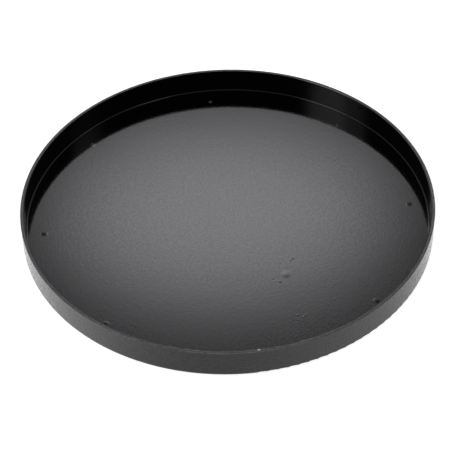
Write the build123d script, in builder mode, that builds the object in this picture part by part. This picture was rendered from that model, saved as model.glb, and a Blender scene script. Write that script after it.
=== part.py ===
from build123d import *
import os
from math import radians, tan

# Shallow round drain pan: one moulded shell standing on eight push-in rubber feet.
# The origin is the centre of the base, on the surface that the feet stand on.
# +Z is up, out of the open mouth. The first foot lies on +X. All sizes are in mm.

# Driving dimensions
rim_diameter = 406.0  # over the outside of the rim
overall_height = 31.0  # from the feet's soles to the rim
inside_depth = 25.4  # from the floor to the rim
floor_thickness = 3.0
rim_width = 3.6  # flat top of the wall
wall_draft = 0.5  # degrees, so that the shell leaves its mould

# Edges of the shell
rim_outer_bevel = 0.7
rim_inner_bevel = 0.3
base_outer_round = 3.5
inside_corner_round = 1.0
skirt_width = 5.0  # standing ring under the wall

# Stiffening under the floor
rib_width = 2.0
rib_height = 1.6
ring_rib_radii = (32.0, 106.0)
gate_radius = 3.0  # stub left where the plastic was fed in
gate_height = 0.8
gate_taper = 10.0  # degrees

# Feet
foot_count = 8
foot_circle_radius = 181.0
foot_lift = 0.5  # how far the soles stand below the shell's skirt
sole_diameter = 14.0
sole_bevel = 0.8
neck_diameter = 3.2
neck_clearance = 0.05
tip_diameter = 4.2
tip_crown_diameter = 2.2  # flat top of the tip
tip_height = 1.1
collar_gap = 0.4  # between a sole and the collar around it
collar_width = 1.4

# Worked out from the above
rim_radius = rim_diameter / 2
floor_top = overall_height - inside_depth
floor_under = floor_top - floor_thickness
draft_slope = tan(radians(wall_draft))
base_radius = rim_radius - (overall_height - foot_lift) * draft_slope
wall_inner_rim = rim_radius - rim_width
wall_inner_floor = wall_inner_rim - inside_depth * draft_slope
skirt_inner_radius = base_radius - skirt_width
collar_inner_radius = sole_diameter / 2 + collar_gap
collar_outer_radius = collar_inner_radius + collar_width
neck_radius = neck_diameter / 2
tip_radius = tip_diameter / 2
tip_crown_radius = tip_crown_diameter / 2
sole_radius = sole_diameter / 2
rib_plane = Plane.XY.offset(floor_under - rib_height)
spoke_start = ring_rib_radii[0]
spoke_end = foot_circle_radius - (collar_inner_radius + collar_outer_radius) / 2


def circles_at(part, height, radius):
    """The circular edge of a turned shape at one height and radius."""
    return part.edges().filter_by(
        lambda edge: edge.geom_type == GeomType.CIRCLE
        and abs(edge.arc_center.Z - height) < 0.01
        and abs(edge.radius - radius) < 0.01
    )


# Pan shell: floor, drafted wall, flat rim and the skirt that the wall ends in
with BuildPart() as pan_shell:
    with BuildSketch(Plane.XZ):
        with BuildLine():
            Polyline(
                (0, floor_under),
                (skirt_inner_radius, floor_under),
                (skirt_inner_radius, foot_lift),
                (base_radius, foot_lift),
                (rim_radius, overall_height),
                (wall_inner_rim, overall_height),
                (wall_inner_floor, floor_top),
                (0, floor_top),
                close=True,
            )
        make_face()
    revolve(axis=Axis.Z)
    fillet(circles_at(pan_shell, foot_lift, base_radius), base_outer_round)
    fillet(circles_at(pan_shell, floor_top, wall_inner_floor), inside_corner_round)
    chamfer(circles_at(pan_shell, overall_height, rim_radius), rim_outer_bevel)
    chamfer(circles_at(pan_shell, overall_height, wall_inner_rim), rim_inner_bevel)

    # Ribs hang from the floor's underside: two rings, a spoke to each foot and a collar round it
    for ring_radius in ring_rib_radii:
        with BuildSketch(rib_plane):
            Circle(ring_radius + rib_width / 2)
            Circle(ring_radius - rib_width / 2, mode=Mode.SUBTRACT)
        extrude(amount=rib_height)
    with BuildSketch(rib_plane):
        with PolarLocations((spoke_start + spoke_end) / 2, foot_count):
            Rectangle(spoke_end - spoke_start, rib_width)
        with PolarLocations(foot_circle_radius, foot_count):
            Circle(collar_outer_radius)
            Circle(collar_inner_radius, mode=Mode.SUBTRACT)
    extrude(amount=rib_height)
    with BuildSketch(Plane.XY.offset(floor_under - gate_height)):
        Circle(gate_radius)
    extrude(amount=gate_height, taper=-gate_taper)

    # One hole through the floor for each foot's neck
    with PolarLocations(foot_circle_radius, foot_count):
        Hole(neck_radius + neck_clearance)

pan_shell.part.label = "pan_shell"


def make_foot(spot):
    """A turned rubber foot: sole under the floor, neck through it and a tapered tip above it."""
    level = Plane(spot)
    upright = Plane(level.origin, x_dir=level.x_dir, z_dir=-level.y_dir)
    with BuildPart() as foot:
        with BuildSketch(upright):
            with BuildLine():
                Polyline(
                    (0, 0),
                    (sole_radius - sole_bevel, 0),
                    (sole_radius, sole_bevel),
                    (sole_radius, floor_under),
                    (neck_radius, floor_under),
                    (neck_radius, floor_top),
                    (tip_radius, floor_top),
                    (tip_crown_radius, floor_top + tip_height),
                    (0, floor_top + tip_height),
                    close=True,
                )
            make_face()
        revolve(axis=Axis(level.origin, level.z_dir))
    return foot


# Eight feet, pushed up through the floor from below
feet = []
for number, spot in enumerate(PolarLocations(foot_circle_radius, foot_count), start=1):
    foot = make_foot(spot)
    foot.part.label = f"foot_{number}"
    feet.append(foot)

os.makedirs("parts", exist_ok=True)
for piece in [pan_shell, *feet]:
    export_step(piece.part, f"parts/{piece.part.label}.step")
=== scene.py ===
"""The looks of the oil drain pan: black moulded plastic in a white studio, lit by soft patches of sky."""
import math

import bpy
from mathutils import Matrix, Vector


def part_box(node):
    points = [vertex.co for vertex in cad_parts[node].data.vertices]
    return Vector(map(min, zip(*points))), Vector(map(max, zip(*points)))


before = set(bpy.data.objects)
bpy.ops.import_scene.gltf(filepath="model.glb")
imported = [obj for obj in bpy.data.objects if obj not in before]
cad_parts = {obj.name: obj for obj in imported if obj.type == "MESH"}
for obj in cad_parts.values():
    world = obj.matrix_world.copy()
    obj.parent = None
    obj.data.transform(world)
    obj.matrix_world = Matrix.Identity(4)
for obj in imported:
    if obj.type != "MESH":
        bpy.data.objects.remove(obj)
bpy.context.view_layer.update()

# What the frame gives. Lengths are in metres.
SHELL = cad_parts["pan_shell"]
FEET = [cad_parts[name] for name in sorted(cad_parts) if name.startswith("foot_")]
SHELL_LOW, SHELL_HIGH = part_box("pan_shell")
RIM_RADIUS = (SHELL_HIGH.x - SHELL_LOW.x) / 2
RIM_HEIGHT = SHELL_HIGH.z
TOP_MARGIN = 1e-5  # points within this of the top are on the rim's flat face
FLOOR_SHARE = 0.8  # of the rim's radius: nearer the middle than this, the floor is the highest thing
RIM_INSIDE = min(v.co.xy.length for v in SHELL.data.vertices if v.co.z > RIM_HEIGHT - TOP_MARGIN)
FLOOR_HEIGHT = max(v.co.z for v in SHELL.data.vertices if v.co.xy.length < FLOOR_SHARE * RIM_RADIUS)

# The photograph's camera. Distances are in rim radii, angles in degrees, and azimuth 0 looks along +Y.
VIEW_AZIMUTH = -4.8
VIEW_ELEVATION = 43.74
VIEW_DISTANCE = 9.252
VIEW_ROLL = -1.459
AIM_RIGHT = -0.0143
AIM_BACK = -0.0130
LENS = 151.55  # millimetres, and so is the sensor's width
SENSOR = 36.0


# Node helpers
def add(tree, kind, sockets=None, **settings):
    """A new node, with its settings and its sockets, by name or number: each gets a value or a link."""
    made = tree.nodes.new(kind)
    for name, value in settings.items():
        setattr(made, name, value)
    for name, value in (sockets or {}).items():
        if isinstance(value, bpy.types.NodeSocket):
            tree.links.new(value, made.inputs[name])
        else:
            made.inputs[name].default_value = value
    return made


def calc(tree, operation, *values, clamp=False):
    """The output of a Math node."""
    made = add(tree, "ShaderNodeMath", dict(enumerate(values)), operation=operation, use_clamp=clamp)
    return made.outputs[0]


def product(tree, *values):
    """The output of a chain of Math nodes that multiplies all the values."""
    total = values[0]
    for value in values[1:]:
        total = calc(tree, "MULTIPLY", total, value)
    return total


def vector_calc(tree, operation, *values):
    """The output of a Vector Math node that gives a vector."""
    return add(tree, "ShaderNodeVectorMath", dict(enumerate(values)), operation=operation).outputs["Vector"]


def length(tree, vector):
    """The length of a vector socket."""
    return add(tree, "ShaderNodeVectorMath", {0: vector}, operation="LENGTH").outputs["Value"]


def dot(tree, vector, direction):
    """The dot product of a vector socket and a fixed direction."""
    made = add(tree, "ShaderNodeVectorMath", {0: vector, 1: direction}, operation="DOT_PRODUCT")
    return made.outputs["Value"]


def without_height(tree, place):
    """A place moved down to height 0."""
    return vector_calc(tree, "MULTIPLY", place, (1, 1, 0))


def ramp(tree, value, low, high, to_low=0.0, to_high=1.0):
    """A smooth step of value between low and high."""
    made = add(
        tree,
        "ShaderNodeMapRange",
        {"Value": value, "From Min": low, "From Max": high, "To Min": to_low, "To Max": to_high},
        interpolation_type="SMOOTHSTEP",
    )
    return made.outputs[0]


def noise(tree, place, scale, detail=2.0, roughness=0.5):
    """A noise value at a place, scale in features per metre."""
    made = add(
        tree,
        "ShaderNodeTexNoise",
        {"Vector": place, "Scale": scale, "Detail": detail, "Roughness": roughness},
    )
    return made.outputs["Fac"]


def bump(tree, height, depth, below=None):
    """Relief of a depth in metres, raised where the height is 1, on top of the relief below it."""
    sockets = {"Height": height, "Distance": depth}
    if below:
        sockets["Normal"] = below
    return add(tree, "ShaderNodeBump", sockets).outputs[0]


def grey(level):
    """A colour of one lightness."""
    return (level, level, level, 1.0)


def new_material(name):
    made = bpy.data.materials.new(name)
    made.use_nodes = True
    made.node_tree.nodes.clear()
    return made, made.node_tree


def dress(node, material):
    node.data.materials.clear()
    node.data.materials.append(material)


# Directions and places as the photograph's camera sees them
def heading(right, back):
    """A level direction in the row frame, given to the camera's right and away from it."""
    angle = math.radians(VIEW_AZIMUTH)
    x = right * math.cos(angle) - back * math.sin(angle)
    y = right * math.sin(angle) + back * math.cos(angle)
    return Vector((x, y, 0))


def floor_place(right, back):
    """A place at height 0, given to the camera's right and away from it, in rim radii."""
    return heading(right, back) * RIM_RADIUS


def sky_direction(azimuth, elevation):
    """A direction to the sky. Azimuth 0 is straight behind the object, 90 is to its right."""
    level = math.cos(math.radians(elevation))
    right = level * math.sin(math.radians(azimuth))
    back = level * math.cos(math.radians(azimuth))
    return heading(right, back) + Vector((0, 0, math.sin(math.radians(elevation))))


# Black moulded plastic: how light each layer is
BLACK = 0.0009
DUST_FILM = 0.024  # on the outside of the wall
DUST_SPECKS = 0.06  # a few larger grains, anywhere
FLOOR_DUST = 0.008  # settled on the floor
WHITE_GRAIN = 0.95  # one on the rim
EDGE_WEAR_AND_LIGHT = 0.23  # a fully worn edge of the rim, and the painted light on the outer edge's bevel
OUTER_WEAR_AND_LIGHT = (0.12, 0.55)  # shares of that on the outer edge: the far half, the near side, where it is painted light on the bevel as well as wear
FRONT_WEAR_AND_LIGHT = 0.8  # and the front's middle, painted light on the bevel as well as wear
INNER_WEAR = (0.05, 0.65)  # flecks on the inner edge: elsewhere, the front's middle
TOP_WEAR = 0.26  # and the rim's flat face

# Where the wear and the outer edge's painted light are: cosines of the angles from a direction, right and
# back, between which they grow
NEAR_SIDE = (0.0, -1.0)
NEAR_REACH = (0.0, 0.6)
FRONT_MIDDLE = (0.09, -1.0)
FRONT_REACH = (0.88, 0.99)

# Zones of the shell: the heights or radii between which each fades in, or out where it says end
BASE_ROUND_TOP = 0.0045  # just above the rounded foot of the outer wall
WALL_START = (0.3 * BASE_ROUND_TOP, BASE_ROUND_TOP)
OUTSIDE = (RIM_RADIUS - 0.0020, RIM_RADIUS - 0.0008)  # the rim's outer part is in it too
FLOOR_END = (FLOOR_HEIGHT + 0.0002, FLOOR_HEIGHT + 0.0006)
RIM_TOP = (RIM_HEIGHT - 0.0012, RIM_HEIGHT - 0.0003)
OUTER_EDGE = (RIM_RADIUS - 0.0010, RIM_RADIUS - 0.0005)
INNER_EDGE = (RIM_INSIDE - 0.0004, RIM_INSIDE)
INNER_EDGE_END = (RIM_INSIDE + 0.0003, RIM_INSIDE + 0.0008)
RIM_FACE = (RIM_INSIDE, RIM_INSIDE + 0.0008)

# Noises: features per metre, detail, and roughness where it isn't 0.5
GRAIN = (620.0, 2.0, 0.6)
FILM = (380.0, 3.0, 0.6)
SPECKLE = (520.0, 1.0, 0.6)
WAVES = (14.0, 1.0)
CHIPS = (170.0, 3.0, 0.65)
SPECKS = (520.0, 1.0)
SETTLED = (700.0, 1.0)

# What is made of them: a noise's low and high, and what they become where that isn't 0 and 1
FILM_COVER = (0.36, 0.66)
SPECK_COVER = (0.82, 0.88)
SETTLED_COVER = (0.48, 0.72)
WEAR_COVER = (0.2, 0.8, 0.8, 1.0)
FLECK_COVER = (0.45, 0.66)
SPECKLE_ROUGHNESS = (0.34, 0.66, 0.082, 0.134)
FILM_ROUGHNESS = 0.24  # added by the film on the outside
WORN_ROUGHNESS = 0.6  # added by the rim's marks
PLASTIC_IOR = 1.5

# Relief, in metres
GRAIN_DEPTH = 0.000017
GRAIN_STRETCH = (1.0, 0.62, 1.0)  # the grain is a little longer from front to back
WALL_GRAIN_DEPTH = 0.00028
WAVE_DEPTH = 0.00003
LIP_DEPTH = 0.00009
LIP_RADIUS = 0.0036
LIP_HOLLOW = 0.75  # the radius inside the lip, as a share of the one outside

# Old dents in the floor, pushed up from below where the depth is positive: right and back, in rim
# radii, then radius and depth, in metres
DENTS = (
    (0.268, -0.388, 0.0060, 0.000044),
    (0.3045, -0.2817, 0.0020, 0.000040),
    (0.2944, -0.2949, 0.0018, 0.000034),
    (0.239, -0.4335, 0.0022, 0.000040),
    (0.209, -0.4225, 0.0018, -0.000030),
    (0.3146, -0.6537, 0.0018, 0.000024),
    (0.3517, -0.6549, 0.0016, 0.000020),
    (0.3395, -0.6673, 0.0018, 0.000024),
    (0.3156, -0.6855, 0.0016, 0.000018),
)

# The white grain on the rim: right and back, in rim radii, and radius in metres
FRONT_GRAIN = (0.1243, -0.9780)
GRAIN_RADIUS = 0.0022


def spot(tree, place, centre, radius):
    """A soft round spot, the same at every height: 1 at its centre, 0 from its radius outwards."""
    offset = vector_calc(tree, "SUBTRACT", place, centre)
    return ramp(tree, length(tree, without_height(tree, offset)), 0.0, radius, 1.0, 0.0)


def lip(tree, place, centre):
    """A low raised ring round the hole of one foot."""
    outside = spot(tree, place, centre, LIP_RADIUS)
    inside = spot(tree, place, centre, LIP_RADIUS * LIP_HOLLOW)
    return calc(tree, "SUBTRACT", outside, inside)


def rim_marks(tree, place, flat, radius, height):
    """How light the rim is: worn edges, most of all at the front, painted light on the outer edge's bevel
    on the near side, and one white grain.
    """
    outward = vector_calc(tree, "NORMALIZE", flat)
    near = ramp(tree, dot(tree, outward, heading(*NEAR_SIDE)), *NEAR_REACH)
    front = ramp(tree, dot(tree, outward, heading(*FRONT_MIDDLE)), *FRONT_REACH)
    chips = noise(tree, place, *CHIPS)
    patchy = ramp(tree, chips, *WEAR_COVER)
    at_top = ramp(tree, height, *RIM_TOP)

    # The outer edge's lightening is wear in patches plus painted light on the bevel, strongest on the near
    # side and at the front
    outer_edge = product(tree, at_top, ramp(tree, radius, *OUTER_EDGE), patchy)
    share = calc(tree, "MAXIMUM", ramp(tree, near, 0.0, 1.0, *OUTER_WEAR_AND_LIGHT), product(tree, front, FRONT_WEAR_AND_LIGHT))
    rubbed_and_lit = product(tree, outer_edge, share)

    past_inside = ramp(tree, radius, *INNER_EDGE_END, 1.0, 0.0)
    inner_edge = product(tree, at_top, ramp(tree, radius, *INNER_EDGE), past_inside)
    share = ramp(tree, front, 0.0, 1.0, *INNER_WEAR)
    flecks = product(tree, inner_edge, ramp(tree, chips, *FLECK_COVER), share)

    dulled = product(tree, at_top, ramp(tree, radius, *RIM_FACE), patchy, TOP_WEAR)
    wear_and_light = calc(tree, "MAXIMUM", calc(tree, "MAXIMUM", rubbed_and_lit, flecks), dulled)
    white = product(tree, at_top, spot(tree, place, floor_place(*FRONT_GRAIN), GRAIN_RADIUS), WHITE_GRAIN)
    return calc(tree, "MAXIMUM", product(tree, wear_and_light, EDGE_WEAR_AND_LIGHT), white)


def shell_plastic():
    material, tree = new_material("shell_plastic")
    place = add(tree, "ShaderNodeTexCoord").outputs["Object"]
    height = add(tree, "ShaderNodeSeparateXYZ", {0: place}).outputs["Z"]
    flat = without_height(tree, place)
    radius = length(tree, flat)
    outside = ramp(tree, radius, *OUTSIDE)
    film = noise(tree, place, *FILM)
    covered = product(tree, outside, ramp(tree, film, *FILM_COVER))

    # Paint: black, worn edges and painted light on the rim, with dust on the floor, a film of it outside
    # and a few specks
    marks = rim_marks(tree, place, flat, radius, height)
    specks = product(tree, ramp(tree, noise(tree, place, *SPECKS), *SPECK_COVER), DUST_SPECKS)
    on_floor = ramp(tree, height, *FLOOR_END, 1.0, 0.0)
    settled = product(tree, on_floor, ramp(tree, noise(tree, place, *SETTLED), *SETTLED_COVER), FLOOR_DUST)
    dust = calc(tree, "MAXIMUM", specks, settled)
    light = calc(tree, "ADD", calc(tree, "MAXIMUM", marks, dust), product(tree, covered, DUST_FILM))
    colour = calc(tree, "ADD", light, BLACK)

    # Gloss: fine speckle everywhere, rougher on the outside of the wall and where it is worn
    roughness = ramp(tree, noise(tree, place, *SPECKLE), *SPECKLE_ROUGHNESS)
    roughness = calc(tree, "ADD", roughness, product(tree, covered, FILM_ROUGHNESS))
    roughness = calc(tree, "ADD", roughness, product(tree, marks, WORN_ROUGHNESS), clamp=True)

    # Relief: grain, mould waves, the outside's own grain, a lip round each foot's tip, and dents
    stretched = vector_calc(tree, "MULTIPLY", place, GRAIN_STRETCH)
    relief = bump(tree, noise(tree, stretched, *GRAIN), GRAIN_DEPTH)
    relief = bump(tree, noise(tree, place, *WAVES), WAVE_DEPTH, relief)
    on_wall = product(tree, film, outside, ramp(tree, height, *WALL_START))
    relief = bump(tree, on_wall, WALL_GRAIN_DEPTH, relief)
    for foot in FEET:
        low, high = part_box(foot.name)
        relief = bump(tree, lip(tree, place, (low + high) / 2), LIP_DEPTH, relief)
    for right, back, dent_radius, depth in DENTS:
        relief = bump(tree, spot(tree, place, floor_place(right, back), dent_radius), depth, relief)

    sockets = {"Base Color": colour, "Roughness": roughness, "IOR": PLASTIC_IOR, "Normal": relief}
    shader = add(tree, "ShaderNodeBsdfPrincipled", sockets)
    add(tree, "ShaderNodeOutputMaterial", {"Surface": shader.outputs[0]})
    return material


# Dull black rubber: colour, two noises as above, roughness as above, and relief in metres
RUBBER = 0.034
TOOTH = (1800.0, 3.0, 0.7)
TOOTH_DEPTH = 0.00003
BLOOM = (260.0, 2.0)
BLOOM_ROUGHNESS = (0.3, 0.7, 0.30, 0.45)
RUBBER_IOR = 1.5


def foot_rubber():
    material, tree = new_material("foot_rubber")
    place = add(tree, "ShaderNodeTexCoord").outputs["Object"]
    sockets = {
        "Base Color": grey(RUBBER),
        "Roughness": ramp(tree, noise(tree, place, *BLOOM), *BLOOM_ROUGHNESS),
        "IOR": RUBBER_IOR,
        "Normal": bump(tree, noise(tree, place, *TOOTH), TOOTH_DEPTH),
    }
    shader = add(tree, "ShaderNodeBsdfPrincipled", sockets)
    add(tree, "ShaderNodeOutputMaterial", {"Surface": shader.outputs[0]})
    return material


# The sky's plain light: bright near the horizon, dim overhead, and between them it fades from one
# sine of the elevation to the other
SKY_COLOUR = (1.0, 1.0, 1.04, 1.0)
HORIZON = 0.55
DOME = 0.09
HORIZON_FADE = (0.25, 0.62)

# A band of light all round, 29 degrees up, which the floor mirrors from low viewpoints. Its middle
# and half height are sines of the elevation too.
RING = 0.45
RING_MIDDLE = 0.485
RING_HALF = 0.105

# The plain light is darker in front, where the photographer stands: the middle's azimuth and elevation,
# and the cosines of the angles from it between which the shade deepens
FRONT_SHADE = 0.25
SHADE_MIDDLE = (180.0, 30.0)
SHADE_REACH = (0.70, 0.95)

# Each soft box: azimuth and elevation in degrees, half width and half height as sines, strength, edge
SOFT_BOXES = (
    (-0.2, 43.48, 0.0900, 0.0475, 3.58, 5.0),
    (-0.2, 43.3, 0.132, 0.100, 0.57, 4.0),
    (-118.0, 46.0, 0.170, 0.200, 2.6, 10.0),
    (-112.0, 46.0, 0.270, 0.200, 2.0, 9.0),
    (91.0, 45.0, 0.160, 0.055, 2.7, 5.0),
    (95.0, 73.0, 0.110, 0.080, 3.6, 4.0),
    (0.0, 89.9, 0.150, 0.150, 0.50, 4.0),
)
BACKGROUND = 1.0  # what the camera sees behind everything


def soft_box(tree, direction, azimuth, elevation, half_width, half_height, strength, edge):
    """A soft-edged patch of sky. The higher the edge value, the sharper its border."""
    middle = sky_direction(azimuth, elevation).normalized()
    across = middle.cross(Vector((0, 0, 1))).normalized()
    upward = across.cross(middle)
    u = calc(tree, "DIVIDE", dot(tree, direction, across), half_width)
    v = calc(tree, "DIVIDE", dot(tree, direction, upward), half_height)
    away = calc(tree, "ADD", product(tree, u, u), product(tree, v, v))
    fall = calc(tree, "EXPONENT", product(tree, calc(tree, "POWER", away, edge / 2), -1.0))
    facing = calc(tree, "GREATER_THAN", dot(tree, direction, middle), 0.0)
    return product(tree, fall, strength, facing)


def studio_sky():
    world = bpy.data.worlds.new("studio")
    bpy.context.scene.world = world
    world.use_nodes = True
    tree = world.node_tree
    tree.nodes.clear()
    direction = add(tree, "ShaderNodeTexCoord").outputs["Generated"]
    up = add(tree, "ShaderNodeSeparateXYZ", {0: direction}).outputs["Z"]

    plain = ramp(tree, up, *HORIZON_FADE, HORIZON, DOME)
    towards_front = dot(tree, direction, sky_direction(*SHADE_MIDDLE))
    total = product(tree, plain, ramp(tree, towards_front, *SHADE_REACH, 1.0, 1.0 - FRONT_SHADE))
    offset = calc(tree, "DIVIDE", calc(tree, "SUBTRACT", up, RING_MIDDLE), RING_HALF)
    ring = calc(tree, "EXPONENT", product(tree, offset, offset, offset, offset, -1.0))
    total = calc(tree, "ADD", total, product(tree, ring, RING))
    for box in SOFT_BOXES:
        total = calc(tree, "ADD", total, soft_box(tree, direction, *box))

    seen = add(tree, "ShaderNodeLightPath").outputs["Is Camera Ray"]
    strength = add(tree, "ShaderNodeMix", {"Factor": seen, "A": total, "B": BACKGROUND}).outputs[0]
    sky = add(tree, "ShaderNodeBackground", {"Color": SKY_COLOUR, "Strength": strength})
    add(tree, "ShaderNodeOutputWorld", {"Surface": sky.outputs[0]})


TABLE_HALF = 4.0  # metres
TABLE_PAPER = 0.6  # its own colour, which the sky lights
TABLE_GLOW = 0.88  # what the table shows by itself, in the pan's shadow too
TABLE_GLOSSY_GLOW = 0.505  # the same, in reflections, before the pools of light below

# Pools of light that only reflections show, on the table beside the pan: azimuth in degrees from the
# camera's right, and strength. The higher the edge value, the narrower they are.
POOLS = ((184, 0.45), (222, 0.58), (298, 0.27), (322, 0.08), (355, 0.57))
POOL_EDGE = 8.4


def table():
    corners = [(x * TABLE_HALF, y * TABLE_HALF, 0) for x, y in ((-1, -1), (1, -1), (1, 1), (-1, 1))]
    mesh = bpy.data.meshes.new("table")
    mesh.from_pydata(corners, [], [(0, 1, 2, 3)])
    top = bpy.data.objects.new("table", mesh)
    bpy.context.scene.collection.objects.link(top)

    material, tree = new_material("table_white")
    outward = vector_calc(tree, "NORMALIZE", add(tree, "ShaderNodeTexCoord").outputs["Object"])
    mirrored = TABLE_GLOSSY_GLOW
    for azimuth, strength in POOLS:
        angle = math.radians(azimuth)
        towards_pool = dot(tree, outward, heading(math.cos(angle), math.sin(angle)))
        fall = calc(tree, "EXPONENT", product(tree, calc(tree, "SUBTRACT", towards_pool, 1.0), POOL_EDGE))
        mirrored = calc(tree, "ADD", mirrored, product(tree, fall, strength))
    path = add(tree, "ShaderNodeLightPath").outputs
    shown = calc(tree, "MAXIMUM", path["Is Camera Ray"], path["Is Transmission Ray"])
    seen_glow = product(tree, shown, TABLE_GLOW)
    glow = calc(tree, "ADD", seen_glow, product(tree, path["Is Glossy Ray"], mirrored))
    light = add(tree, "ShaderNodeEmission", {"Color": grey(1.0), "Strength": glow})
    paper = add(tree, "ShaderNodeBsdfDiffuse", {"Color": grey(TABLE_PAPER)})
    both = add(tree, "ShaderNodeAddShader", {0: light.outputs[0], 1: paper.outputs[0]})
    add(tree, "ShaderNodeOutputMaterial", {"Surface": both.outputs[0]})
    dress(top, material)


def camera():
    data = bpy.data.cameras.new("camera")
    data.lens = LENS
    data.sensor_width = SENSOR
    lifted = math.radians(VIEW_ELEVATION)
    eye = floor_place(0, -VIEW_DISTANCE * math.cos(lifted))
    eye.z = VIEW_DISTANCE * math.sin(lifted) * RIM_RADIUS
    ahead = (floor_place(AIM_RIGHT, AIM_BACK) - eye).normalized()
    right = ahead.cross(Vector((0, 0, 1))).normalized()
    upward = right.cross(ahead)
    roll = math.radians(VIEW_ROLL)
    x_axis = right * math.cos(roll) + upward * math.sin(roll)
    y_axis = upward * math.cos(roll) - right * math.sin(roll)
    seat = Matrix((x_axis, y_axis, -ahead)).transposed().to_4x4()
    seat.translation = eye
    made = bpy.data.objects.new("camera", data)
    made.matrix_world = seat
    bpy.context.scene.collection.objects.link(made)
    bpy.context.scene.camera = made


dress(SHELL, shell_plastic())
rubber = foot_rubber()
for foot in FEET:
    dress(foot, rubber)
studio_sky()
table()
camera()
bpy.context.scene.view_settings.view_transform = "Standard"
